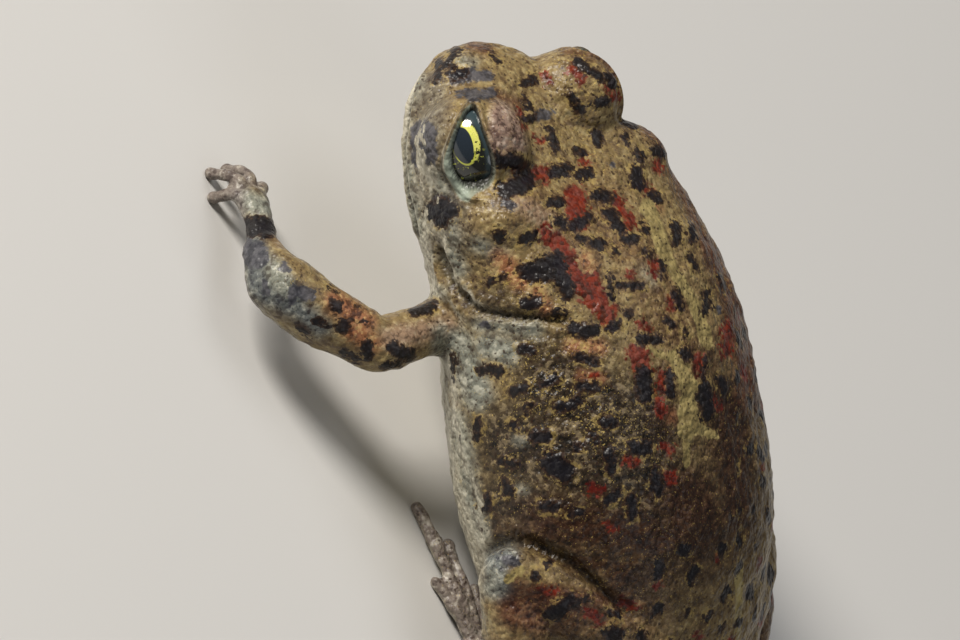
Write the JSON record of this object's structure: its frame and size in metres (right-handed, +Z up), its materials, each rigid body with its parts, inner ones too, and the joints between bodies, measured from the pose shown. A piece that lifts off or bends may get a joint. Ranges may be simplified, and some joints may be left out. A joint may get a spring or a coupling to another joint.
{
  "type": "inyanga toad model",
  "caption": "Still, life-size model of a tiny spotted toadlet crouching on its belly, hands and feet.",
  "frame": {"origin": "the middle of the small flat under the belly, on the floor", "axes": "+Z up, the toad's head towards -Y, its left side at +X"},
  "size_m": [0.0097, 0.0124, 0.005],
  "materials": {
    "skin": "moist, finely granular skin, olive brown with dark blotches, red patches and gold flecks",
    "eye": "glossy wet eye, dark iris with a yellow-green band and a dark oval pupil"
  },
  "bodies": {
    "root": {"head": "skin", "lower_jaw": "skin", "torso": "skin", "upper_arm_l": "skin", "forearm_l": "skin", "hand_l": "skin", "thigh_l": "skin", "shank_l": "skin", "tarsus_l": "skin", "foot_l": "skin", "upper_arm_r": "skin", "forearm_r": "skin", "hand_r": "skin", "thigh_r": "skin", "shank_r": "skin", "tarsus_r": "skin", "foot_r": "skin", "eye_l": "eye", "eye_r": "eye"}
  },
  "joints": []
}
